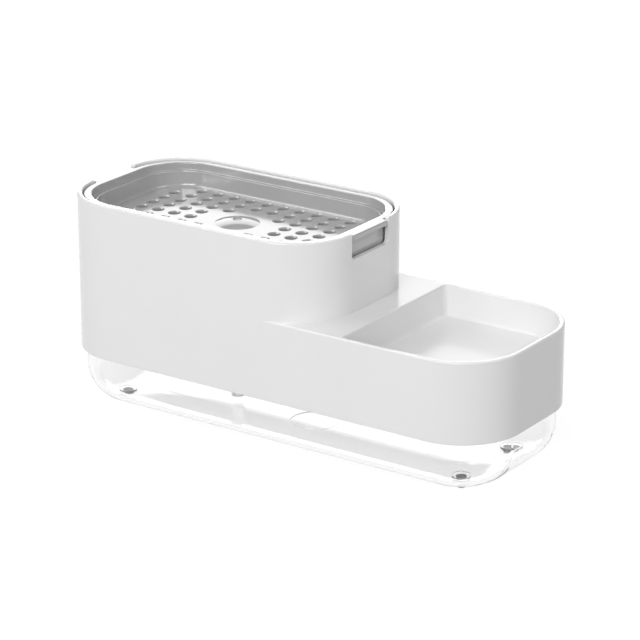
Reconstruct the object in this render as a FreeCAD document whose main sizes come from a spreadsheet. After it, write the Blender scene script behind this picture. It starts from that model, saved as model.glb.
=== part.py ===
import FreeCAD, Part
import math
import operator
import os
from types import SimpleNamespace

import Sketcher

# Soap pump caddy: a clear tank carries a white shell with a tower and a sponge pocket.
# A grey drain tray rides on a pump in the tower, and pressing it brings soap out of its dome.
# Millimetres, +Z up, origin under the middle of the feet, tower towards -X, front towards -Y.

SIZES = [
    # Whole body
    ("body_length", 228.0),
    ("body_width", 87.0),
    ("body_height", 100.0),
    ("corner_radius", 29.0),
    # Upper shell
    ("tower_length", 143.0),
    ("shell_wall", 2.2),
    ("shell_base_height", 27.0),
    ("tower_rise", 36.0),
    ("rim_round_share", 0.36),
    ("base_round", 0.5),
    ("deck_length", 13.0),
    ("deck_thickness", 2.2),
    ("pocket_depth", 14.5),
    ("pocket_corner_radius", 2.5),
    ("pocket_floor_round", 1.6),
    ("pocket_round_share", 0.9),
    ("plate_thickness", 2.2),
    ("notch_width", 29.0),
    ("notch_spare", 2.6),
    ("notch_round", 2.0),
    ("neck_height", 8.0),
    ("neck_wall", 4.5),
    # Tank, its seal and feet
    ("tank_clearance", 0.35),
    ("tank_wall", 2.2),
    ("tank_bottom_round", 17.0),
    ("seal_thickness", 1.6),
    ("gate_radius", 11.0),
    ("gate_depth", 0.6),
    ("foot_height", 1.5),
    ("foot_radius", 2.4),
    ("foot_round", 0.5),
    ("foot_seat_depth", 1.2),
    ("foot_boss_radius", 4.1),
    ("foot_boss_height", 1.0),
    ("foot_end_inset", 24.0),
    ("foot_side_inset", 22.5),
    # Press tray
    ("tray_drop", 1.0),
    ("tray_gap", 0.7),
    ("flange_width", 3.4),
    ("flange_thickness", 2.2),
    ("tray_wall", 1.8),
    ("tier_depth", 3.4),
    ("tier_draft", 0.3),
    ("ledge_width", 2.2),
    ("wall_slope_run", 0.8),
    ("tray_depth", 10.6),
    ("tray_floor", 2.0),
    ("tray_floor_round", 1.5),
    ("flange_round", 0.6),
    ("ledge_round", 0.4),
    ("tab_gap", 0.6),
    ("tab_round", 2.0),
    ("tab_apron", 1.6),
    ("drain_radius", 2.5),
    ("drain_pitch_long", 9.2),
    ("drain_pitch_wide", 8.3),
    ("drain_edge", 2.2),
    ("drain_bevel", 0.5),
    ("dome_radius", 10.2),
    ("dome_rise", 1.8),
    ("dome_clear_radius", 15.5),
    ("outlet_radius", 2.1),
    ("socket_depth", 4.2),
    ("socket_wall", 1.6),
    ("socket_clearance", 0.3),
    ("recess_depth", 1.4),
    ("valve_lip", 1.5),
    ("valve_lip_thickness", 0.8),
    ("valve_slit_width", 0.5),
    ("valve_slit_depth", 0.8),
    ("valve_slit_share", 0.7),
    # Pump
    ("press_travel", 6.0),
    ("gasket_thickness", 1.2),
    ("housing_flange_thickness", 1.6),
    ("barrel_clearance", 0.6),
    ("barrel_radius", 9.4),
    ("barrel_wall", 1.6),
    ("barrel_length", 27.5),
    ("barrel_floor", 2.0),
    ("inlet_length", 7.0),
    ("inlet_wall", 1.4),
    ("dip_tube_radius", 3.0),
    ("dip_tube_wall", 1.0),
    ("dip_socket_depth", 4.5),
    ("dip_floor_gap", 2.5),
    ("ball_radius", 2.2),
    ("ball_room", 0.8),
    ("inlet_seat_radius", 1.5),
    ("inlet_web", 1.5),
    ("ball_seat_gap", 0.05),
    ("cage_lift_room", 1.4),
    ("cage_wall", 1.2),
    ("cage_top", 0.7),
    ("cage_flange_thickness", 0.8),
    ("cage_hole_radius", 1.4),
    ("cage_window_width", 1.6),
    ("cage_window_count", 3),
    ("collar_wall", 2.8),
    ("collar_clearance", 0.3),
    ("collar_top", 1.6),
    ("collar_opening_radius", 10.0),
    ("collar_groove_radius", 0.9),
    ("collar_groove_count", 24),
    ("chaplet_thickness", 1.4),
    ("chaplet_radius", 13.0),
    ("chaplet_depth", 5.5),
    ("head_stop_gap", 0.4),
    ("chaplet_guide_wall", 2.6),
    ("stem_clearance", 0.3),
    ("stem_radius", 3.6),
    ("stem_bore_radius", 1.7),
    ("stem_foot_radius", 6.0),
    ("stem_foot_thickness", 1.2),
    ("piston_height", 6.5),
    ("piston_clearance", 0.2),
    ("piston_hub_wall", 1.6),
    ("piston_lip", 1.0),
    ("piston_stop_gap", 0.2),
    ("spring_wire_radius", 0.45),
    ("spring_radius", 5.0),
    ("spring_turns", 5),
    ("spring_seat_gap", 0.1),
    ("head_radius", 9.0),
    ("head_top", 2.2),
    ("head_height", 16.0),
    ("head_wall", 1.4),
    ("head_flare", 1.5),
    ("head_flare_height", 6.0),
    ("head_outlet_radius", 1.4),
    ("head_ball_room", 5.0),
    ("outlet_channel", 2.0),
    ("head_tube_wall", 1.8),
    ("head_tube_lift", 1.0),
    # All cuts run past the solid by this much
    ("overrun", 1.0),
]

doc = FreeCAD.newDocument("soap_pump_caddy")
sheet = doc.addObject("Spreadsheet::Sheet", "Sizes")
for row, (alias, number) in enumerate(SIZES, start=1):
    sheet.set("A%d" % row, alias)
    sheet.set("B%d" % row, str(number))
    sheet.setAlias("B%d" % row, alias)
doc.recompute()

SIGNS = {"+": operator.add, "-": operator.sub, "*": operator.mul, "/": operator.truediv}


class Size:
    """A value together with the sheet expression that it follows."""

    def __init__(self, text, value):
        self.text = text
        self.value = value

    def __add__(self, other):
        return joined(self, "+", other)

    def __radd__(self, other):
        return joined(other, "+", self)

    def __sub__(self, other):
        return joined(self, "-", other)

    def __rsub__(self, other):
        return joined(other, "-", self)

    def __mul__(self, other):
        return joined(self, "*", other)

    def __rmul__(self, other):
        return joined(other, "*", self)

    def __truediv__(self, other):
        return joined(self, "/", other)

    def __neg__(self):
        return joined(0, "-", self)


def sized(item):
    return item if isinstance(item, Size) else Size(repr(item), item)


def joined(left, sign, right):
    left = sized(left)
    right = sized(right)
    return Size("(%s %s %s)" % (left.text, sign, right.text), SIGNS[sign](left.value, right.value))


def root(item):
    return Size("sqrt(%s)" % item.text, math.sqrt(item.value))


def least(one, other):
    return Size("min(%s; %s)" % (one.text, other.text), min(one.value, other.value))


s = SimpleNamespace(**{alias: Size("Sizes." + alias, number) for alias, number in SIZES})
ZERO = sized(0)
NEAR = 1e-4

# Places that several pieces share
tower_end = s.tower_length - s.body_length / 2
pump_x = s.tower_length / 2 - s.body_length / 2
low_rim_height = s.body_height - s.tower_rise
rim_round = s.shell_wall * s.rim_round_share
pocket_left = tower_end + s.deck_length
pocket_right = s.body_length / 2 - s.shell_wall
pocket_side = s.body_width / 2 - s.shell_wall
plate_top = low_rim_height - s.pocket_depth
plate_under = plate_top - s.plate_thickness
neck_bore = s.barrel_radius + s.barrel_clearance
neck_radius = neck_bore + s.neck_wall
neck_top = plate_top + s.neck_height
tank_inset = s.shell_wall + s.tank_clearance
tank_rim = plate_under - s.seal_thickness
tank_floor = s.foot_height + s.tank_wall
flange_top = s.body_height - s.tray_drop
tray_inset = s.shell_wall + s.tray_gap
tray_floor_top = flange_top - s.tray_depth
tray_floor_under = tray_floor_top - s.tray_floor
recess_top = tray_floor_under + s.recess_depth
tier_under = flange_top - s.tier_depth
tier_inset = s.flange_width + s.tier_draft
bowl_inset = tier_inset + s.ledge_width
floor_inset = bowl_inset + s.wall_slope_run
housing_seat = neck_top + s.gasket_thickness
housing_top = housing_seat + s.housing_flange_thickness
chaplet_top = housing_top + s.chaplet_thickness
barrel_bore = s.barrel_radius - s.barrel_wall
barrel_under = housing_seat - s.barrel_length
barrel_floor_top = barrel_under + s.barrel_floor
inlet_under = barrel_under - s.inlet_length
web_under = inlet_under + s.dip_socket_depth
web_top = web_under + s.inlet_web
ball_chamber = s.ball_radius + s.ball_room
spring_seat = barrel_floor_top + s.cage_flange_thickness
piston_top = housing_top - s.chaplet_depth - s.piston_stop_gap
piston_under = piston_top - s.piston_height
stem_under = piston_under - s.stem_foot_thickness
head_ceiling = tray_floor_under - s.head_top
chamber_top = head_ceiling - s.outlet_channel
stem_top = chamber_top - s.head_ball_room
head_under = tray_floor_under - s.head_height
notch_depth = s.tray_drop + s.flange_thickness + s.press_travel + s.notch_spare


def bind(thing, name, size):
    thing.setExpression(name, size.text)


def new_body(label, at_pump=False):
    body = doc.addObject("PartDesign::Body", label)
    body.Label = label
    if at_pump:
        bind(body, "Placement.Base.x", pump_x)
    return body


def plane(body, role):
    return next(item for item in body.Origin.OriginFeatures if item.Role == role)


def new_sketch(body, name, role="XY_Plane", offset=ZERO):
    sketch = body.newObject("Sketcher::SketchObject", name)
    sketch.AttachmentSupport = [(plane(body, role), "")]
    sketch.MapMode = "FlatFace"
    bind(sketch, "AttachmentOffset.Base.z", offset)
    return sketch


def fix(sketch, kind, geometry, point, size):
    """Hold a point at a signed distance from the sketch's origin."""
    if size.value == 0:
        axis = -2 if kind == "DistanceX" else -1
        sketch.addConstraint(Sketcher.Constraint("PointOnObject", geometry, point, axis))
    elif size.value > 0:
        index = sketch.addConstraint(Sketcher.Constraint(kind, -1, 1, geometry, point, size.value))
        bind(sketch, "Constraints[%d]" % index, size)
    else:
        index = sketch.addConstraint(Sketcher.Constraint(kind, geometry, point, -1, 1, -size.value))
        bind(sketch, "Constraints[%d]" % index, -size)


def set_radius(sketch, geometry, size):
    index = sketch.addConstraint(Sketcher.Constraint("Radius", geometry, size.value))
    bind(sketch, "Constraints[%d]" % index, size)


def add_circle(sketch, x, y, radius):
    centre = FreeCAD.Vector(x.value, y.value, 0)
    circle = sketch.addGeometry(Part.Circle(centre, FreeCAD.Vector(0, 0, 1), radius.value), False)
    set_radius(sketch, circle, radius)
    fix(sketch, "DistanceX", circle, 3, x)
    fix(sketch, "DistanceY", circle, 3, y)


def add_rounded_box(sketch, left, right, low, high, left_radius, right_radius):
    """Rounded rectangle, with one radius for the two left corners and one for the two right."""
    x0, x1, y0, y1 = left.value, right.value, low.value, high.value
    a, b = left_radius.value, right_radius.value
    up = FreeCAD.Vector(0, 0, 1)

    def line(xa, ya, xb, yb):
        ends = FreeCAD.Vector(xa, ya, 0), FreeCAD.Vector(xb, yb, 0)
        return sketch.addGeometry(Part.LineSegment(*ends), False)

    def corner(x, y, radius, start):
        circle = Part.Circle(FreeCAD.Vector(x, y, 0), up, radius)
        return sketch.addGeometry(Part.ArcOfCircle(circle, start, start + math.pi / 2), False)

    ring = [
        line(x0 + a, y0, x1 - b, y0),
        corner(x1 - b, y0 + b, b, -math.pi / 2),
        line(x1, y0 + b, x1, y1 - b),
        corner(x1 - b, y1 - b, b, 0),
        line(x1 - b, y1, x0 + a, y1),
        corner(x0 + a, y1 - a, a, math.pi / 2),
        line(x0, y1 - a, x0, y0 + a),
        corner(x0 + a, y0 + a, a, math.pi),
    ]
    for one, following in zip(ring, ring[1:] + ring[:1]):
        sketch.addConstraint(Sketcher.Constraint("Tangent", one, 2, following, 1))
    bottom, right_side, top, left_side = ring[0::2]
    sketch.addConstraint(Sketcher.Constraint("Horizontal", bottom))
    sketch.addConstraint(Sketcher.Constraint("Horizontal", top))
    sketch.addConstraint(Sketcher.Constraint("Vertical", right_side))
    sketch.addConstraint(Sketcher.Constraint("Vertical", left_side))
    for arc, radius in zip(ring[1::2], (right_radius, right_radius, left_radius, left_radius)):
        set_radius(sketch, arc, radius)
    fix(sketch, "DistanceX", left_side, 1, left)
    fix(sketch, "DistanceX", right_side, 1, right)
    fix(sketch, "DistanceY", bottom, 1, low)
    fix(sketch, "DistanceY", top, 1, high)


def add_outline(sketch, corners, arcs=()):
    """Closed outline through corners; arcs maps a side's number to its radius and middle point."""
    arcs = dict(arcs)
    points = [FreeCAD.Vector(x.value, y.value, 0) for x, y in corners]
    sides = []
    for number, (start, end) in enumerate(zip(points, points[1:] + points[:1])):
        if number in arcs:
            middle = FreeCAD.Vector(*(item.value for item in arcs[number][1]))
            sides.append(sketch.addGeometry(Part.Arc(start, middle, end), False))
        else:
            sides.append(sketch.addGeometry(Part.LineSegment(start, end), False))
    first_ends = []
    for side, start, end in zip(sides, points, points[1:] + points[:1]):
        first = sketch.getPoint(side, 1)
        first_ends.append(1 if first.distanceToPoint(start) < first.distanceToPoint(end) else 2)
    for number, side in enumerate(sides):
        following = (number + 1) % len(sides)
        ends = (side, 3 - first_ends[number], sides[following], first_ends[following])
        sketch.addConstraint(Sketcher.Constraint("Coincident", *ends))
        if number in arcs:
            set_radius(sketch, side, arcs[number][0])
    for number, (x, y) in enumerate(corners):
        fix(sketch, "DistanceX", sides[number], first_ends[number], x)
        fix(sketch, "DistanceY", sides[number], first_ends[number], y)


def solid_between(body, name, sketch, height):
    pad = body.newObject("PartDesign::Pad", name)
    pad.Profile = sketch
    bind(pad, "Length", height)
    doc.recompute()
    return pad


def cut_up(body, name, sketch, height):
    """Pocket that starts at its sketch and runs towards +Z."""
    before = body.Shape.Volume
    pocket = body.newObject("PartDesign::Pocket", name)
    pocket.Profile = sketch
    pocket.Reversed = True
    bind(pocket, "Length", height)
    doc.recompute()
    if body.Shape.Volume >= before:
        raise RuntimeError(name + " cuts nothing")
    return pocket


def revolved(body, name, corners, arcs=(), feature="PartDesign::Revolution"):
    """Turn an outline of (radius, height) corners about the body's own Z axis."""
    sketch = new_sketch(body, name + "_profile", "XZ_Plane")
    add_outline(sketch, corners, arcs)
    turn = body.newObject(feature, name)
    turn.Profile = sketch
    turn.ReferenceAxis = (sketch, ["V_Axis"])
    doc.recompute()
    return turn


def around_axis(body, name, feature, count):
    """Repeat a feature evenly about the body's own Z axis."""
    pattern = body.newObject("PartDesign::PolarPattern", name)
    pattern.Originals = [feature]
    pattern.Axis = (plane(body, "Z_Axis"), [""])
    pattern.Angle = 360
    bind(pattern, "Occurrences", count)
    body.Tip = pattern
    doc.recompute()


def edges_where(body, test):
    names = []
    for number, edge in enumerate(body.Shape.Edges, start=1):
        if test(edge.BoundBox):
            names.append("Edge%d" % number)
    return names


def flat_at(height):
    return lambda box: abs(box.ZMin - height.value) < NEAR and abs(box.ZMax - height.value) < NEAR


def rounded_edges(body, name, test, radius):
    base = body.Tip
    fillet = body.newObject("PartDesign::Fillet", name)
    fillet.Base = (base, edges_where(body, test))
    bind(fillet, "Radius", radius)
    doc.recompute()
    return fillet


def body_outline(sketch, inset, end=None):
    """The body's rounded plan, drawn in by an inset, up to its own or another right end."""
    end = s.body_length / 2 if end is None else end
    radius = s.corner_radius - inset
    left = inset - s.body_length / 2
    side = s.body_width / 2 - inset
    add_rounded_box(sketch, left, end - inset, -side, side, radius, radius)


def make_tank():
    body = new_body("tank")
    plan = new_sketch(body, "tank_plan", offset=s.foot_height)
    body_outline(plan, tank_inset)
    solid_between(body, "tank_block", plan, tank_rim - s.foot_height)
    rounded_edges(body, "tank_bottom", flat_at(s.foot_height), s.tank_bottom_round)
    top = [number for number, face in enumerate(body.Shape.Faces, start=1)
           if flat_at(tank_rim)(face.BoundBox)]
    block = body.Tip
    hollow = body.newObject("PartDesign::Thickness", "tank_hollow")
    hollow.Base = (block, ["Face%d" % top[0]])
    hollow.Reversed = True
    bind(hollow, "Value", s.tank_wall)
    doc.recompute()
    bosses = new_sketch(body, "foot_bosses_plan", offset=tank_floor - s.tank_wall / 2)
    add_feet_circles(bosses, s.foot_boss_radius)
    solid_between(body, "foot_bosses", bosses, s.tank_wall / 2 + s.foot_boss_height)
    seats = new_sketch(body, "foot_seats_plan", offset=s.foot_height - s.overrun)
    add_feet_circles(seats, s.foot_radius)
    cut_up(body, "foot_seats", seats, s.foot_seat_depth + s.overrun)
    gate = new_sketch(body, "gate_plan", offset=s.foot_height - s.overrun)
    add_circle(gate, ZERO, ZERO, s.gate_radius)
    cut_up(body, "gate_recess", gate, s.gate_depth + s.overrun)
    return body


def foot_places():
    x = s.body_length / 2 - s.foot_end_inset
    y = s.body_width / 2 - s.foot_side_inset
    return {"front_left": (-x, -y), "front_right": (x, -y), "back_left": (-x, y), "back_right": (x, y)}


def add_feet_circles(sketch, radius):
    for x, y in foot_places().values():
        add_circle(sketch, x, y, radius)


def make_foot(label, x, y):
    """Rubber button in its seat under the tank, with a rounded lower edge."""
    body = new_body(label)
    bind(body, "Placement.Base.x", x)
    bind(body, "Placement.Base.y", y)
    top = s.foot_height + s.foot_seat_depth
    flat = s.foot_radius - s.foot_round
    bend = s.foot_round * math.sqrt(0.5)
    corners = [
        (ZERO, ZERO), (flat, ZERO), (s.foot_radius, s.foot_round), (s.foot_radius, top), (ZERO, top),
    ]
    revolved(body, "button", corners, {1: (s.foot_round, (flat + bend, s.foot_round - bend))})
    return body


def make_seal():
    body = new_body("tank_seal")
    plan = new_sketch(body, "seal_plan", offset=tank_rim)
    body_outline(plan, tank_inset)
    body_outline(plan, tank_inset + s.tank_wall)
    solid_between(body, "seal_ring", plan, s.seal_thickness)
    return body


def make_shell():
    body = new_body("upper_shell")
    low = new_sketch(body, "low_plan", offset=s.shell_base_height)
    body_outline(low, ZERO)
    solid_between(body, "low_block", low, low_rim_height - s.shell_base_height)
    rounded_edges(body, "low_rim", flat_at(low_rim_height), rim_round)
    rounded_edges(body, "base_rim", flat_at(s.shell_base_height), s.base_round)
    tower = new_sketch(body, "tower_plan", offset=plate_under)
    body_outline(tower, ZERO, tower_end)
    solid_between(body, "tower_block", tower, s.body_height - plate_under)
    basin = new_sketch(body, "basin_plan", offset=plate_top)
    body_outline(basin, s.shell_wall, tower_end)
    cut_up(body, "tower_basin", basin, s.body_height - plate_top + s.overrun)
    pocket = new_sketch(body, "pocket_plan", offset=plate_top)
    right_corner = s.corner_radius - s.shell_wall
    left_room = pocket_right - pocket_left - right_corner - s.pocket_floor_round
    left_corner = least(s.pocket_corner_radius, left_room)
    floor_round = least(s.pocket_floor_round, left_corner * s.pocket_round_share)
    add_rounded_box(pocket, pocket_left, pocket_right, -pocket_side, pocket_side,
                    left_corner, right_corner)
    cut_up(body, "caddy_pocket", pocket, s.pocket_depth + s.overrun)
    skirt = new_sketch(body, "skirt_plan", offset=s.shell_base_height - s.overrun)
    body_outline(skirt, s.shell_wall)
    cut_up(body, "skirt_cavity", skirt, plate_under - s.shell_base_height + s.overrun)
    hollow = new_sketch(body, "deck_hollow_plan", offset=plate_under - s.overrun)
    add_deck_hollow(hollow, pocket_left - s.shell_wall, pocket_side)
    cut_up(body, "deck_hollow", hollow,
           low_rim_height - s.deck_thickness - plate_under + s.overrun)
    neck = new_sketch(body, "neck_plan", offset=plate_top - s.plate_thickness / 2)
    add_circle(neck, pump_x, ZERO, neck_radius)
    solid_between(body, "pump_neck", neck, s.plate_thickness / 2 + s.neck_height)
    bore = new_sketch(body, "neck_bore_plan", offset=plate_under - s.overrun)
    add_circle(bore, pump_x, ZERO, neck_bore)
    cut_up(body, "neck_bore", bore, neck_top - plate_under + 2 * s.overrun)
    notch = new_sketch(body, "notch_plan", "YZ_Plane")
    half = s.notch_width / 2
    add_rounded_box(notch, -half, half, s.body_height - notch_depth,
                    s.body_height + notch_depth, s.notch_round, s.notch_round)
    cut = body.newObject("PartDesign::Pocket", "end_notches")
    cut.Profile = notch
    cut.Midplane = True
    bind(cut, "Length", s.body_length + 2 * s.overrun)
    doc.recompute()
    rounded_edges(body, "tower_rim", flat_at(s.body_height), rim_round)
    rounded_edges(body, "pocket_floor", pocket_edge_at(plate_top), floor_round)
    rounded_edges(body, "pocket_rim", pocket_edge_at(low_rim_height), rim_round)
    return body


def pocket_edge_at(height):
    """Test for the pocket's own edges at a height, apart from the outer rim's."""
    def test(box):
        reach = max(-box.YMin, box.YMax)
        inside = box.XMin > pocket_left.value - NEAR and reach < pocket_side.value + NEAR
        return inside and flat_at(height)(box)
    return test


def add_deck_hollow(sketch, right, side):
    """Space under the deck, bounded on its left by the tower's end and two rounded corners."""
    middle_y = s.body_width / 2 - s.corner_radius
    centre_x = tower_end - s.corner_radius
    rise = side - middle_y
    reach = centre_x + root(s.corner_radius * s.corner_radius - rise * rise)
    bend = s.corner_radius * math.sqrt(0.5)
    corners = [
        (reach, -side), (right, -side), (right, side), (reach, side),
        (tower_end, middle_y), (tower_end, -middle_y),
    ]
    arcs = {
        3: (s.corner_radius, (centre_x + bend, middle_y + bend)),
        5: (s.corner_radius, (centre_x + bend, -middle_y - bend)),
    }
    add_outline(sketch, corners, arcs)


def tray_outline(sketch, inset):
    """The tray's rounded plan about the pump axis, drawn in from the edge of its flange."""
    play = tray_inset + inset
    end = s.tower_length / 2 - play
    side = s.body_width / 2 - play
    radius = s.corner_radius - play
    add_rounded_box(sketch, -end, end, -side, side, radius, radius)


def tray_loft(body, name, feature, levels):
    """Ruled loft between two of the tray's plans, each given as height and inset."""
    plans = []
    for number, (height, inset) in enumerate(levels):
        plan = new_sketch(body, "%s_plan_%d" % (name, number), offset=height)
        tray_outline(plan, inset)
        plans.append(plan)
    loft = body.newObject(feature, name)
    loft.Profile = plans[0]
    loft.Sections = plans[1:]
    loft.Ruled = True
    doc.recompute()


def make_tray():
    body = new_body("press_tray", at_pump=True)
    flange = new_sketch(body, "flange_plan", offset=flange_top - s.flange_thickness)
    tray_outline(flange, ZERO)
    solid_between(body, "flange", flange, s.flange_thickness)
    tabs = new_sketch(body, "tabs_plan", offset=flange_top - s.flange_thickness)
    tab_half = s.notch_width / 2 - s.tab_gap
    tab_end = s.tower_length / 2
    add_rounded_box(tabs, -tab_end, tab_end, -tab_half, tab_half, s.tab_round, s.tab_round)
    solid_between(body, "end_tabs", tabs, s.flange_thickness)
    tier = new_sketch(body, "tier_plan", offset=tier_under - s.tray_wall)
    tray_outline(tier, s.flange_width - s.tray_wall)
    solid_between(body, "tier_wall", tier, s.tier_depth + s.tray_wall)
    tray_loft(body, "bowl_wall", "PartDesign::AdditiveLoft", [
        (tier_under - s.tray_wall, bowl_inset - s.tray_wall),
        (tray_floor_under, floor_inset - s.tray_wall),
    ])
    tray_loft(body, "tier_hollow", "PartDesign::SubtractiveLoft", [
        (flange_top, s.flange_width),
        (tier_under, tier_inset),
    ])
    tray_loft(body, "bowl_hollow", "PartDesign::SubtractiveLoft", [
        (tier_under, bowl_inset),
        (tray_floor_top, floor_inset),
    ])
    add_tab_aprons(body)
    rounded_edges(body, "bowl_floor", flat_at(tray_floor_top), s.tray_floor_round)
    rounded_edges(body, "ledge_edge", ledge_edge, s.ledge_round)
    rounded_edges(body, "flange_rim", flat_at(flange_top), s.flange_round)
    add_dome(body)
    add_drain_holes(body)
    return body


def add_tab_aprons(body):
    """Plate below each tab, which closes the view through the shell's notch."""
    outside = s.tower_length / 2 - tray_inset
    inside = outside - s.tab_apron
    half = least(s.notch_width / 2, s.body_width / 2 - s.corner_radius)
    aprons = new_sketch(body, "aprons_plan", offset=tray_floor_under)
    for near, far in ((inside, outside), (-outside, -inside)):
        add_outline(aprons, [(near, -half), (far, -half), (far, half), (near, half)])
    solid_between(body, "tab_aprons", aprons, flange_top - s.flange_thickness / 2 - tray_floor_under)


def ledge_edge(box):
    """Test for the edge where the ledge drops into the bowl."""
    side = s.body_width / 2 - tray_inset - bowl_inset
    return flat_at(tier_under)(box) and max(-box.YMin, box.YMax) < side.value + NEAR


def add_dome(body):
    """Low dome over the pump head, its socket below the floor, and the outlet through it."""
    dome_arc = (s.dome_radius * s.dome_radius + s.dome_rise * s.dome_rise) / (2 * s.dome_rise)
    apex = tray_floor_top + s.dome_rise
    middle = s.dome_radius / 2
    middle_rise = root(dome_arc * dome_arc - middle * middle) - dome_arc + s.dome_rise
    corners = [
        (ZERO, tray_floor_under), (s.dome_radius, tray_floor_under),
        (s.dome_radius, tray_floor_top), (ZERO, apex),
    ]
    revolved(body, "dome", corners, {2: (dome_arc, (middle, tray_floor_top + middle_rise))})
    socket_bore = s.head_radius + s.socket_clearance
    ring = new_sketch(body, "socket_plan", offset=tray_floor_under - s.socket_depth)
    add_circle(ring, ZERO, ZERO, socket_bore + s.socket_wall)
    add_circle(ring, ZERO, ZERO, socket_bore)
    solid_between(body, "head_socket", ring, s.socket_depth + s.tray_floor / 2)
    lip = s.outlet_radius + s.valve_lip
    corners = [
        (ZERO, tray_floor_under - s.overrun), (s.head_radius - s.head_wall, tray_floor_under - s.overrun),
        (s.head_radius - s.head_wall, tray_floor_under), (lip, recess_top),
        (s.outlet_radius, recess_top), (s.outlet_radius, apex + s.overrun), (ZERO, apex + s.overrun),
    ]
    revolved(body, "outlet", corners, feature="PartDesign::Groove")


def drain_fits(x, y):
    """True where a hole is clear of the dome and of the rounded edge of the floor."""
    play = tray_inset + floor_inset
    rim = s.drain_radius + s.drain_edge
    radius = s.corner_radius - play
    over_x = x - (s.tower_length / 2 - play - radius)
    over_y = y - (s.body_width / 2 - play - radius)
    reach = math.hypot(max(over_x.value, 0), max(over_y.value, 0))
    return reach + rim.value <= radius.value and math.hypot(x.value, y.value) > s.dome_clear_radius.value


def add_drain_holes(body):
    """Square grid of bevelled holes, drawn in one quarter and mirrored."""
    holes = new_sketch(body, "drain_plan", offset=tray_floor_under - s.overrun)
    bevels = new_sketch(body, "bevel_plan", offset=tray_floor_top)
    columns = math.ceil(s.tower_length.value / 2 / s.drain_pitch_long.value)
    rows = math.ceil(s.body_width.value / 2 / s.drain_pitch_wide.value)
    for column in range(columns):
        for row in range(rows):
            x = s.drain_pitch_long * (column + 0.5)
            y = s.drain_pitch_wide * (row + 0.5)
            if drain_fits(x, y):
                add_circle(holes, x, y, s.drain_radius)
                add_circle(bevels, x, y, s.drain_radius + s.drain_bevel)
    quarter = cut_up(body, "drain_quarter", holes, s.tray_floor + 2 * s.overrun)
    rims = body.newObject("PartDesign::Pocket", "drain_rims")
    rims.Profile = bevels
    rims.TaperAngle = -45
    bind(rims, "Length", s.drain_bevel)
    doc.recompute()
    grid = body.newObject("PartDesign::MultiTransform", "drain_grid")
    grid.Originals = [quarter, rims]
    mirrors = []
    for role in ("YZ_Plane", "XZ_Plane"):
        mirror = body.newObject("PartDesign::Mirrored", "drain_mirror_" + role[:2].lower())
        mirror.MirrorPlane = (plane(body, role), [""])
        mirrors.append(mirror)
    grid.Transformations = mirrors
    body.Tip = grid
    doc.recompute()


def make_valve():
    """Soft slit valve: a plug in the dome's outlet with a lip below."""
    body = new_body("outlet_valve", at_pump=True)
    lip = s.outlet_radius + s.valve_lip
    plug_top = tray_floor_top + s.dome_rise - s.valve_slit_depth
    corners = [
        (ZERO, recess_top - s.valve_lip_thickness), (lip, recess_top - s.valve_lip_thickness),
        (lip, recess_top), (s.outlet_radius, recess_top), (s.outlet_radius, plug_top), (ZERO, plug_top),
    ]
    revolved(body, "valve_plug", corners)
    slit = new_sketch(body, "slit_plan", offset=plug_top - s.valve_slit_depth)
    half = s.valve_slit_width / 2
    reach = s.outlet_radius * s.valve_slit_share
    add_outline(slit, [(-reach, -half), (reach, -half), (reach, half), (-reach, half)])
    cut_up(body, "valve_slit", slit, s.valve_slit_depth + s.overrun)
    return body


def make_gasket():
    body = new_body("pump_gasket", at_pump=True)
    ring = new_sketch(body, "gasket_plan", offset=neck_top)
    add_circle(ring, ZERO, ZERO, neck_radius)
    add_circle(ring, ZERO, ZERO, neck_bore)
    solid_between(body, "gasket_ring", ring, s.gasket_thickness)
    return body


def make_housing():
    """Pump barrel with its seating flange above and the inlet nozzle below."""
    body = new_body("pump_housing", at_pump=True)
    nozzle = s.dip_tube_radius + s.inlet_wall
    corners = [
        (s.dip_tube_radius, inlet_under), (nozzle, inlet_under), (nozzle, barrel_under),
        (s.barrel_radius, barrel_under), (s.barrel_radius, housing_seat), (neck_radius, housing_seat),
        (neck_radius, housing_top), (barrel_bore, housing_top), (barrel_bore, barrel_floor_top),
        (ball_chamber, barrel_floor_top), (ball_chamber, web_top), (s.inlet_seat_radius, web_top),
        (s.inlet_seat_radius, web_under), (s.dip_tube_radius, web_under),
    ]
    revolved(body, "barrel", corners)
    return body


def make_ball_cage():
    """Cup over the inlet ball; its flange seats the spring and its windows let soap pass."""
    body = new_body("ball_cage", at_pump=True)
    flange = s.spring_radius + 2 * s.spring_wire_radius
    wall = ball_chamber + s.cage_wall
    ceiling = seated_ball(s.inlet_seat_radius, web_top) + s.ball_radius + s.cage_lift_room
    top = ceiling + s.cage_top
    corners = [
        (ball_chamber, barrel_floor_top), (flange, barrel_floor_top), (flange, spring_seat),
        (wall, spring_seat), (wall, top), (s.cage_hole_radius, top), (s.cage_hole_radius, ceiling),
        (ball_chamber, ceiling),
    ]
    revolved(body, "cage_cup", corners)
    window = new_sketch(body, "window_plan", offset=spring_seat)
    half = s.cage_window_width / 2
    add_outline(window, [(ZERO, -half), (flange, -half), (flange, half), (ZERO, half)])
    cut = cut_up(body, "cage_window", window, ceiling - spring_seat)
    around_axis(body, "cage_windows", cut, s.cage_window_count)
    return body


def make_dip_tube():
    body = new_body("dip_tube", at_pump=True)
    tube_under = tank_floor + s.dip_floor_gap
    ring = new_sketch(body, "dip_plan", offset=tube_under)
    add_circle(ring, ZERO, ZERO, s.dip_tube_radius)
    add_circle(ring, ZERO, ZERO, s.dip_tube_radius - s.dip_tube_wall)
    solid_between(body, "dip_pipe", ring, web_under - tube_under)
    return body


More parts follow.
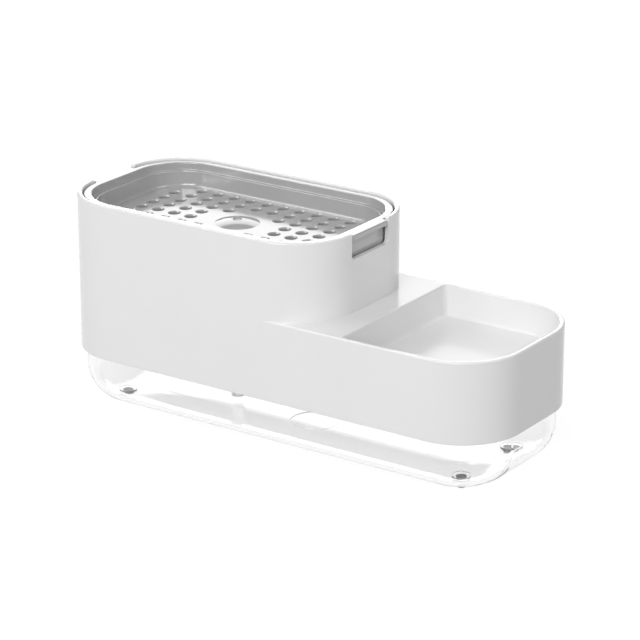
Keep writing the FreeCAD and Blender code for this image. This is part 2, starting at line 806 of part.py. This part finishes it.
def make_collar():
    """Screw collar over the neck, with grip grooves round its side."""
    body = new_body("pump_collar", at_pump=True)
    inside = neck_radius + s.collar_clearance
    outside = inside + s.collar_wall
    under = plate_top + s.collar_clearance
    top = chaplet_top + s.collar_top
    corners = [
        (inside, under), (outside, under), (outside, top), (s.collar_opening_radius, top),
        (s.collar_opening_radius, chaplet_top), (inside, chaplet_top),
    ]
    revolved(body, "collar_ring", corners)
    groove = new_sketch(body, "grip_plan", offset=under - s.overrun)
    add_circle(groove, outside, ZERO, s.collar_groove_radius)
    cut = cut_up(body, "grip_groove", groove, top - under + 2 * s.overrun)
    around_axis(body, "grip_grooves", cut, s.collar_groove_count)
    return body


def make_chaplet():
    """Guide ring that closes the barrel and carries the stem."""
    body = new_body("pump_chaplet", at_pump=True)
    bore = s.stem_radius + s.stem_clearance
    guide = bore + s.chaplet_guide_wall
    inner = barrel_bore - s.piston_clearance
    under = housing_top - s.chaplet_depth
    guide_top = head_under - s.press_travel - s.head_stop_gap
    corners = [
        (bore, under), (inner, under), (inner, housing_top), (s.chaplet_radius, housing_top),
        (s.chaplet_radius, chaplet_top), (guide, chaplet_top), (guide, guide_top), (bore, guide_top),
    ]
    revolved(body, "guide_ring", corners)
    return body


def make_stem():
    body = new_body("pump_stem", at_pump=True)
    corners = [
        (s.stem_bore_radius, stem_under), (s.stem_foot_radius, stem_under),
        (s.stem_foot_radius, piston_under), (s.stem_radius, piston_under),
        (s.stem_radius, stem_top), (s.stem_bore_radius, stem_top),
    ]
    revolved(body, "stem_tube", corners)
    return body


def make_piston():
    """Sleeve on the stem with a wiping lip at each end."""
    body = new_body("piston", at_pump=True)
    hub = s.stem_radius + s.piston_hub_wall
    lip = barrel_bore - s.piston_clearance
    corners = [
        (s.stem_radius, piston_under), (lip, piston_under), (lip, piston_under + s.piston_lip),
        (hub, piston_under + 2 * s.piston_lip), (hub, piston_top - 2 * s.piston_lip),
        (lip, piston_top - s.piston_lip), (lip, piston_top), (s.stem_radius, piston_top),
    ]
    revolved(body, "piston_sleeve", corners)
    return body


def make_head():
    """Cap pressed on the stem; its flat top carries the tray and its bore holds the outlet ball."""
    body = new_body("pump_head", at_pump=True)
    flare_top = head_under + s.head_flare_height
    skirt = s.head_radius - s.head_wall
    tube = s.stem_radius + s.head_tube_wall
    tube_under = head_under + s.head_tube_lift
    chamber = s.ball_radius + s.ball_room / 2
    corners = [
        (s.head_outlet_radius, tray_floor_under), (s.head_radius, tray_floor_under),
        (s.head_radius, flare_top), (s.head_radius + s.head_flare, head_under),
        (s.head_radius + s.head_flare - s.head_wall, head_under), (skirt, flare_top),
        (skirt, head_ceiling), (tube, head_ceiling), (tube, tube_under), (s.stem_radius, tube_under),
        (s.stem_radius, stem_top), (chamber, stem_top), (chamber, chamber_top),
        (s.head_outlet_radius, chamber_top),
    ]
    revolved(body, "head_cap", corners)
    return body


def seated_ball(seat_radius, seat_height):
    """Height of the middle of a ball that rests on a round edge."""
    rise = root(s.ball_radius * s.ball_radius - seat_radius * seat_radius)
    return seat_height + rise + s.ball_seat_gap


def make_ball(label, seat_radius, seat_height):
    """Steel ball that rests on the round edge of its seat."""
    ball = doc.addObject("Part::Sphere", label)
    bind(ball, "Radius", s.ball_radius)
    bind(ball, "Placement.Base.x", pump_x)
    bind(ball, "Placement.Base.z", seated_ball(seat_radius, seat_height))
    return ball


def biarc(start, end, start_way, end_way):
    """Two arcs from start to end that leave and arrive along the given unit directions."""
    span = end - start
    both = start_way + end_way
    slant = span.dot(both)
    slack = 2 * (1 - start_way.dot(end_way))
    reach = (math.sqrt(slant * slant + slack * span.dot(span)) - slant) / slack
    near = start + start_way * reach
    far = end - end_way * reach
    joint = (near + far) * 0.5
    arcs = []
    for a, corner, b in ((start, near, joint), (joint, far, end)):
        middle = (a + b) * 0.5
        outward = corner - middle
        half = (b - a).Length / 2
        side = (corner - a).Length
        sag = half * math.tan(math.acos(half / side) / 2)
        arcs.append(Part.Arc(a, middle + outward.normalize() * sag, b).toShape())
    return arcs


def make_spring():
    """Return spring between ball cage and stem foot, one tube along a helix."""
    wire = s.spring_wire_radius.value
    radius = s.spring_radius.value
    turns = int(s.spring_turns.value)
    clear = wire + s.spring_seat_gap.value
    low = spring_seat.value + clear
    rise = stem_under.value - clear - low
    quarters = 4 * turns

    def point(share):
        angle = 2 * math.pi * turns * share
        return FreeCAD.Vector(radius * math.cos(angle), radius * math.sin(angle), low + rise * share)

    def way(share):
        angle = 2 * math.pi * turns * share
        sweep = 2 * math.pi * turns * radius
        return FreeCAD.Vector(-sweep * math.sin(angle), sweep * math.cos(angle), rise).normalize()

    edges = []
    for quarter in range(quarters):
        a = quarter / quarters
        b = (quarter + 1) / quarters
        edges += biarc(point(a), point(b), way(a), way(b))
    path = Part.Wire(edges)
    section = Part.Wire(Part.Circle(point(0), way(0), wire).toShape())
    shell = Part.BRepOffsetAPI.MakePipeShell(path)
    shell.add(section)
    shell.build()
    shell.makeSolid()
    spring = doc.addObject("Part::Feature", "pump_spring")
    spring.Shape = shell.shape()
    bind(spring, "Placement.Base.x", pump_x)
    print("spring gap between turns %.2f mm" % (rise / turns - 2 * wire))
    return spring


nodes = [
    make_tank(), make_seal(), make_shell(), make_tray(), make_valve(), make_gasket(), make_housing(),
    make_ball_cage(), make_dip_tube(), make_collar(), make_chaplet(), make_stem(), make_piston(),
    make_head(), make_spring(),
    make_ball("inlet_ball", s.inlet_seat_radius, web_top),
    make_ball("outlet_ball", s.stem_bore_radius, stem_top),
]
for place, (x, y) in foot_places().items():
    nodes.append(make_foot("foot_" + place, x, y))
doc.recompute()

failed = [item.Name for item in doc.Objects if "Invalid" in item.State or "Error" in item.State]
if failed:
    raise RuntimeError("failed objects: " + ", ".join(failed))
for node in nodes:
    if node.Shape.isNull() or not node.Shape.isValid():
        raise RuntimeError("bad shape: " + node.Label)

os.makedirs("parts", exist_ok=True)
for node in nodes:
    node.Shape.exportStep("parts/%s.step" % node.Label)
    box = node.Shape.BoundBox
    print("%-14s solids %d volume %9.1f z %6.2f to %6.2f" % (
        node.Label, len(node.Shape.Solids), node.Shape.Volume, box.ZMin, box.ZMax))
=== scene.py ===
import math

import bpy
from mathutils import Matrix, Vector


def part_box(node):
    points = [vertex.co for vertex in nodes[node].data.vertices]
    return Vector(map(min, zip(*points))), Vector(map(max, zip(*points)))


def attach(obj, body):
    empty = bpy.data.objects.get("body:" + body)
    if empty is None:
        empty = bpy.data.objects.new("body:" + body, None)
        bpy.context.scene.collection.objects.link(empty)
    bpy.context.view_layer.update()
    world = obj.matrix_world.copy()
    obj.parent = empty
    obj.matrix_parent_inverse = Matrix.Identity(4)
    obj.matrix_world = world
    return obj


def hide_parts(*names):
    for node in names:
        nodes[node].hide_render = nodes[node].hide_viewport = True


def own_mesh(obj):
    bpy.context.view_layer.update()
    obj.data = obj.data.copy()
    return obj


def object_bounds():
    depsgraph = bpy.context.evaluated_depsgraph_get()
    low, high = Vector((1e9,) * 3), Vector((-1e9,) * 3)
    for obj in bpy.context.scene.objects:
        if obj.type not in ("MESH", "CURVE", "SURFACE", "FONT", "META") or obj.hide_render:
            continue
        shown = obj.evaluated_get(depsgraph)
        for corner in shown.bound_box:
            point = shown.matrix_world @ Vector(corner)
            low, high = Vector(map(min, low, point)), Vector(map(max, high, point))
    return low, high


# Soap pump caddy: finishes, return spring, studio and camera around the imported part.
# Metres, +Z up, tower towards -X, front towards -Y.

MILLIMETRE = 0.001
FEET = ("foot_front_left", "foot_front_right", "foot_back_left", "foot_back_right")

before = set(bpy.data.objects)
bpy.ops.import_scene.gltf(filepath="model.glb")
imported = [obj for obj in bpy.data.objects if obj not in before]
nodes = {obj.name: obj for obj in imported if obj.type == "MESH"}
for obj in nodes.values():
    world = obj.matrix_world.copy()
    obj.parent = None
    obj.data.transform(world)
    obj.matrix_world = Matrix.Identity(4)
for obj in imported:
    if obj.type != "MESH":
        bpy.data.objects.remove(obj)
cad_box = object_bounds()
bpy.ops.object.select_all(action="DESELECT")


# Finishes

def start_finish(name):
    """New material, its node tree and its shader."""
    finish = bpy.data.materials.new(name)
    finish.use_nodes = True
    tree = finish.node_tree
    return finish, tree, tree.nodes["Principled BSDF"]


def ripple(tree, wavelength, detail=2.0):
    """Noise pattern that stays on the piece, about one wavelength from crest to crest."""
    place = tree.nodes.new("ShaderNodeTexCoord")
    noise = tree.nodes.new("ShaderNodeTexNoise")
    noise.inputs["Scale"].default_value = 1 / wavelength
    noise.inputs["Detail"].default_value = detail
    tree.links.new(place.outputs["Object"], noise.inputs["Vector"])
    return noise.outputs["Fac"]


def between(tree, pattern, low, high):
    """Spread a 0 to 1 pattern over a range of values."""
    spread = tree.nodes.new("ShaderNodeMapRange")
    spread.inputs["To Min"].default_value = low
    spread.inputs["To Max"].default_value = high
    tree.links.new(pattern, spread.inputs["Value"])
    return spread.outputs["Result"]


def tones(tree, pattern, dark, pale):
    """Colours from dark to pale along a pattern."""
    ramp = tree.nodes.new("ShaderNodeValToRGB")
    ramp.color_ramp.elements[0].color = (*dark, 1)
    ramp.color_ramp.elements[1].color = (*pale, 1)
    tree.links.new(pattern, ramp.inputs["Fac"])
    return ramp.outputs["Color"]


def raise_surface(tree, shader, pattern, height):
    """Bump in which a full step of the pattern is a height in metres."""
    bump = tree.nodes.new("ShaderNodeBump")
    bump.inputs["Distance"].default_value = height
    tree.links.new(pattern, bump.inputs["Height"])
    tree.links.new(bump.outputs["Normal"], shader.inputs["Normal"])


def choose_shader(tree, choice, usual, other):
    """Show one shader where the choice is 0 and another where it is 1."""
    choose = tree.nodes.new("ShaderNodeMixShader")
    tree.links.new(choice, choose.inputs["Fac"])
    tree.links.new(usual, choose.inputs[1])
    tree.links.new(other, choose.inputs[2])
    tree.links.new(choose.outputs["Shader"], tree.nodes["Material Output"].inputs["Surface"])


def grey(level):
    return (level, level, level)


def moulded_finish(name, dark, pale, smooth, rough, grain, grain_height, cloud=40 * MILLIMETRE):
    """Moulded plastic or rubber: clouded colour, uneven gloss and a fine skin."""
    finish, tree, shader = start_finish(name)
    gloss = between(tree, ripple(tree, cloud / 3), smooth, rough)
    tree.links.new(tones(tree, ripple(tree, cloud), dark, pale), shader.inputs["Base Color"])
    tree.links.new(gloss, shader.inputs["Roughness"])
    raise_surface(tree, shader, ripple(tree, grain), grain_height)
    return finish


def let_light_in(finish, weight, depth):
    """Milky plastic: light enters to a depth and comes out without a tint."""
    shader = finish.node_tree.nodes["Principled BSDF"]
    shader.inputs["Subsurface Weight"].default_value = weight
    shader.inputs["Subsurface Radius"].default_value = (1, 1, 1)
    shader.inputs["Subsurface Scale"].default_value = depth


def white_gloss_finish():
    return moulded_finish("white_gloss", dark=grey(0.8), pale=grey(0.83), smooth=0.14, rough=0.2,
                          grain=1.6 * MILLIMETRE, grain_height=0.0015 * MILLIMETRE)


def grey_gloss_finish():
    finish = moulded_finish("grey_gloss", dark=grey(0.39), pale=grey(0.42), smooth=0.1, rough=0.17,
                            grain=1.4 * MILLIMETRE, grain_height=0.0012 * MILLIMETRE)
    shader = finish.node_tree.nodes["Principled BSDF"]
    shader.inputs["Coat Weight"].default_value = 1.0
    shader.inputs["Coat IOR"].default_value = 1.65
    shader.inputs["Coat Roughness"].default_value = 0.1
    return finish


def clear_plastic_finish():
    """Polished clear plastic; lamps shine through it, so it throws no dark shadow."""
    finish, tree, shader = start_finish("clear_plastic")
    shader.inputs["Transmission Weight"].default_value = 1.0
    shader.inputs["IOR"].default_value = 1.5
    tint = tones(tree, ripple(tree, 50 * MILLIMETRE), dark=grey(0.94), pale=grey(0.965))
    polish = between(tree, ripple(tree, 20 * MILLIMETRE), low=0.01, high=0.04)
    tree.links.new(tint, shader.inputs["Base Color"])
    tree.links.new(polish, shader.inputs["Roughness"])
    swell = ripple(tree, 30 * MILLIMETRE, detail=0.0)
    raise_surface(tree, shader, swell, height=0.002 * MILLIMETRE)
    path = tree.nodes.new("ShaderNodeLightPath")
    pass_light = tree.nodes.new("ShaderNodeBsdfTransparent")
    pass_light.inputs["Color"].default_value = (*grey(0.96), 1)
    choose_shader(tree, path.outputs["Is Shadow Ray"], usual=shader.outputs["BSDF"],
                  other=pass_light.outputs["BSDF"])
    return finish


def dark_rubber_finish():
    return moulded_finish("dark_rubber", dark=grey(0.13), pale=grey(0.19), smooth=0.5, rough=0.7,
                          grain=0.5 * MILLIMETRE, grain_height=0.02 * MILLIMETRE,
                          cloud=3 * MILLIMETRE)


def soft_seal_finish():
    finish = moulded_finish("soft_seal", dark=(0.66, 0.66, 0.65), pale=(0.72, 0.72, 0.71),
                            smooth=0.45, rough=0.6, grain=0.6 * MILLIMETRE,
                            grain_height=0.006 * MILLIMETRE, cloud=10 * MILLIMETRE)
    let_light_in(finish, weight=0.2, depth=1.5 * MILLIMETRE)
    return finish


def natural_plastic_finish():
    finish = moulded_finish("natural_plastic", dark=(0.74, 0.74, 0.72), pale=(0.8, 0.8, 0.78),
                            smooth=0.32, rough=0.42, grain=MILLIMETRE,
                            grain_height=0.003 * MILLIMETRE, cloud=12 * MILLIMETRE)
    let_light_in(finish, weight=0.35, depth=2 * MILLIMETRE)
    return finish


def white_matte_finish():
    return moulded_finish("white_matte", dark=grey(0.74), pale=grey(0.79), smooth=0.42, rough=0.55,
                          grain=0.7 * MILLIMETRE, grain_height=0.006 * MILLIMETRE,
                          cloud=12 * MILLIMETRE)


def steel_finish(name, dark, pale, smooth, rough, streak):
    """Bare metal with fine drawn or polished marks."""
    finish, tree, shader = start_finish(name)
    shader.inputs["Metallic"].default_value = 1.0
    marks = ripple(tree, streak, detail=4.0)
    tree.links.new(tones(tree, marks, dark, pale), shader.inputs["Base Color"])
    tree.links.new(between(tree, marks, smooth, rough), shader.inputs["Roughness"])
    raise_surface(tree, shader, marks, height=0.002 * MILLIMETRE)
    return finish


def spring_steel_finish():
    return steel_finish("spring_steel", dark=grey(0.45), pale=grey(0.6), smooth=0.22, rough=0.36,
                        streak=0.3 * MILLIMETRE)


def bright_steel_finish():
    return steel_finish("bright_steel", dark=grey(0.62), pale=grey(0.72), smooth=0.06, rough=0.14,
                        streak=0.8 * MILLIMETRE)


def dress(finish, *names):
    """Give CAD nodes a finish in place of their packed one."""
    for name in names:
        slots = nodes[name].data.materials
        slots.clear()
        slots.append(finish)


dress(white_gloss_finish(), "upper_shell")
dress(grey_gloss_finish(), "press_tray")
dress(clear_plastic_finish(), "tank")
dress(dark_rubber_finish(), *FEET)
dress(soft_seal_finish(), "tank_seal", "pump_gasket", "outlet_valve")
dress(natural_plastic_finish(), "pump_housing", "ball_cage", "dip_tube", "pump_chaplet", "pump_stem")
dress(white_matte_finish(), "pump_collar", "pump_head", "piston")
dress(bright_steel_finish(), "inlet_ball", "outlet_ball")


# Return spring, built as a fixed coil that rides with the shell

SPRING_WIRE = 0.45 * MILLIMETRE
SPRING_TURNS = 5
WIRE_SIDES = 12
TURN_STEPS = 40
WELD = SPRING_WIRE / 100
SMOOTH_ANGLE = math.radians(50)


def make_spring():
    """Round wire section, turned about the pump axis into a coil and closed at both ends."""
    low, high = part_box("pump_spring")
    length = high.z - low.z
    axis_place = Vector(((low.x + high.x) / 2, (low.y + high.y) / 2, low.z + SPRING_WIRE))
    coil_radius = (high.x - low.x) / 2 - SPRING_WIRE
    rise = length - 2 * SPRING_WIRE
    bpy.ops.mesh.primitive_circle_add(vertices=WIRE_SIDES, radius=SPRING_WIRE, location=axis_place)
    spring = bpy.context.object
    spring.name = "return_spring"
    bpy.ops.object.mode_set(mode="EDIT")
    bpy.ops.mesh.select_all(action="SELECT")
    bpy.ops.transform.rotate(value=math.pi / 2, orient_axis="X", center_override=axis_place)
    bpy.ops.transform.translate(value=(coil_radius, 0, 0))
    bpy.ops.object.mode_set(mode="OBJECT")
    turning = spring.modifiers.new("turns", "SCREW")
    turning.axis = "Z"
    turning.iterations = SPRING_TURNS
    turning.screw_offset = rise / SPRING_TURNS
    turning.steps = TURN_STEPS
    turning.render_steps = TURN_STEPS
    bpy.ops.object.modifier_apply(modifier=turning.name)
    bpy.ops.object.mode_set(mode="EDIT")
    bpy.ops.mesh.select_all(action="SELECT")
    bpy.ops.mesh.remove_doubles(threshold=WELD)
    bpy.ops.mesh.fill_holes(sides=WIRE_SIDES)
    bpy.ops.mesh.normals_make_consistent(inside=False)
    bpy.ops.object.mode_set(mode="OBJECT")
    bpy.ops.object.transform_apply(location=True, rotation=True, scale=True)
    bpy.ops.object.shade_smooth_by_angle(angle=SMOOTH_ANGLE)
    spring.data.materials.append(spring_steel_finish())
    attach(spring, "shell_body")
    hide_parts("pump_spring")
    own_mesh(spring)
    bpy.ops.object.select_all(action="DESELECT")


make_spring()


# Studio

FLOOR_SIZE = 60.0
FLOOR_GLOW = 0.86
AIR_LIGHT = 0.29


def seen_directly(tree):
    """1 for rays of the camera, of gloss and of clear plastic, and 0 for light that bounces."""
    path = tree.nodes.new("ShaderNodeLightPath")
    either = path.outputs["Is Camera Ray"]
    for other in ("Is Glossy Ray", "Is Transmission Ray"):
        larger = tree.nodes.new("ShaderNodeMath")
        larger.operation = "MAXIMUM"
        tree.links.new(either, larger.inputs[0])
        tree.links.new(path.outputs[other], larger.inputs[1])
        either = larger.outputs["Value"]
    return either


def floor_finish():
    """Pale floor; rays from the camera, gloss and clear plastic see it white, with its shadow."""
    finish, tree, shader = start_finish("studio_floor")
    shader.inputs["Roughness"].default_value = 0.9
    shader.inputs["Specular IOR Level"].default_value = 0.1
    paint = tones(tree, ripple(tree, 300 * MILLIMETRE), dark=grey(0.42), pale=grey(0.44))
    tree.links.new(paint, shader.inputs["Base Color"])
    shadow_keeper = tree.nodes.new("ShaderNodeBsdfDiffuse")
    shadow_keeper.inputs["Color"].default_value = (*grey(0.2), 1)
    glow = tree.nodes.new("ShaderNodeEmission")
    glow.inputs["Strength"].default_value = FLOOR_GLOW
    white = tree.nodes.new("ShaderNodeAddShader")
    tree.links.new(shadow_keeper.outputs["BSDF"], white.inputs[0])
    tree.links.new(glow.outputs["Emission"], white.inputs[1])
    choose_shader(tree, seen_directly(tree), usual=shader.outputs["BSDF"],
                  other=white.outputs["Shader"])
    return finish


def make_floor():
    bpy.ops.mesh.primitive_plane_add(size=FLOOR_SIZE)
    floor = bpy.context.object
    floor.name = "studio_floor"
    floor.data.materials.append(floor_finish())
    bpy.ops.object.select_all(action="DESELECT")


def light_air():
    """Even light from all round."""
    world = bpy.data.worlds.new("studio_air")
    world.use_nodes = True
    air = world.node_tree.nodes["Background"]
    air.inputs["Color"].default_value = (1, 1, 1, 1)
    air.inputs["Strength"].default_value = AIR_LIGHT
    bpy.context.scene.world = world


def direction(azimuth, elevation):
    """Unit vector towards a place round the object; azimuth 0 is the front, 90 the right end."""
    turn = math.radians(azimuth)
    rise = math.radians(elevation)
    return Vector((math.sin(turn) * math.cos(rise), -math.cos(turn) * math.cos(rise), math.sin(rise)))


def add_softbox(name, azimuth, elevation, distance, width, height, radiance):
    """Area lamp that faces the object; radiance is how bright its face looks."""
    aim = Vector((0, 0, cad_box[1].z / 2))
    away = direction(azimuth, elevation)
    lamp = bpy.data.lights.new(name, "AREA")
    lamp.shape = "RECTANGLE"
    lamp.size = width
    lamp.size_y = height
    lamp.energy = radiance * math.pi * width * height
    softbox = bpy.data.objects.new(name, lamp)
    bpy.context.scene.collection.objects.link(softbox)
    softbox.location = aim + away * distance
    softbox.rotation_euler = away.to_track_quat("Z", "Y").to_euler()
    softbox.visible_camera = False


# Camera at the photograph's angle, with the photograph's frame

CAMERA_AZIMUTH = 34.5
CAMERA_ELEVATION = 19.8
CAMERA_DISTANCE = 1.2565
CAMERA_LENS = 159.2
CAMERA_AIM = Vector((0.00145, 0.0013, 0.0507))
BEHIND = 180 + CAMERA_AZIMUTH


def place_camera():
    away = direction(CAMERA_AZIMUTH, CAMERA_ELEVATION)
    lens = bpy.data.cameras.new("product_camera")
    lens.lens = CAMERA_LENS
    camera = bpy.data.objects.new("product_camera", lens)
    bpy.context.scene.collection.objects.link(camera)
    camera.location = CAMERA_AIM + away * CAMERA_DISTANCE
    camera.rotation_euler = away.to_track_quat("Z", "Y").to_euler()
    bpy.context.scene.camera = camera


make_floor()
light_air()
add_softbox("key_softbox", azimuth=12, elevation=26, distance=2.2, width=1.4, height=1.2,
            radiance=5.6)
add_softbox("end_softbox", azimuth=98, elevation=45, distance=2.2, width=1.2, height=1.0,
            radiance=2.4)
add_softbox("top_softbox", azimuth=BEHIND, elevation=66, distance=2.0, width=1.6, height=1.2,
            radiance=0.2)
add_softbox("left_softbox", azimuth=303, elevation=51, distance=2.0, width=0.9, height=0.7,
            radiance=4.4)
add_softbox("back_softbox", azimuth=BEHIND, elevation=25, distance=2.4, width=1.8, height=1.3,
            radiance=1.7)
add_softbox("rear_softbox", azimuth=220, elevation=6, distance=2.8, width=1.8, height=0.5,
            radiance=8.0)
place_camera()
bpy.context.scene.view_settings.view_transform = "Standard"
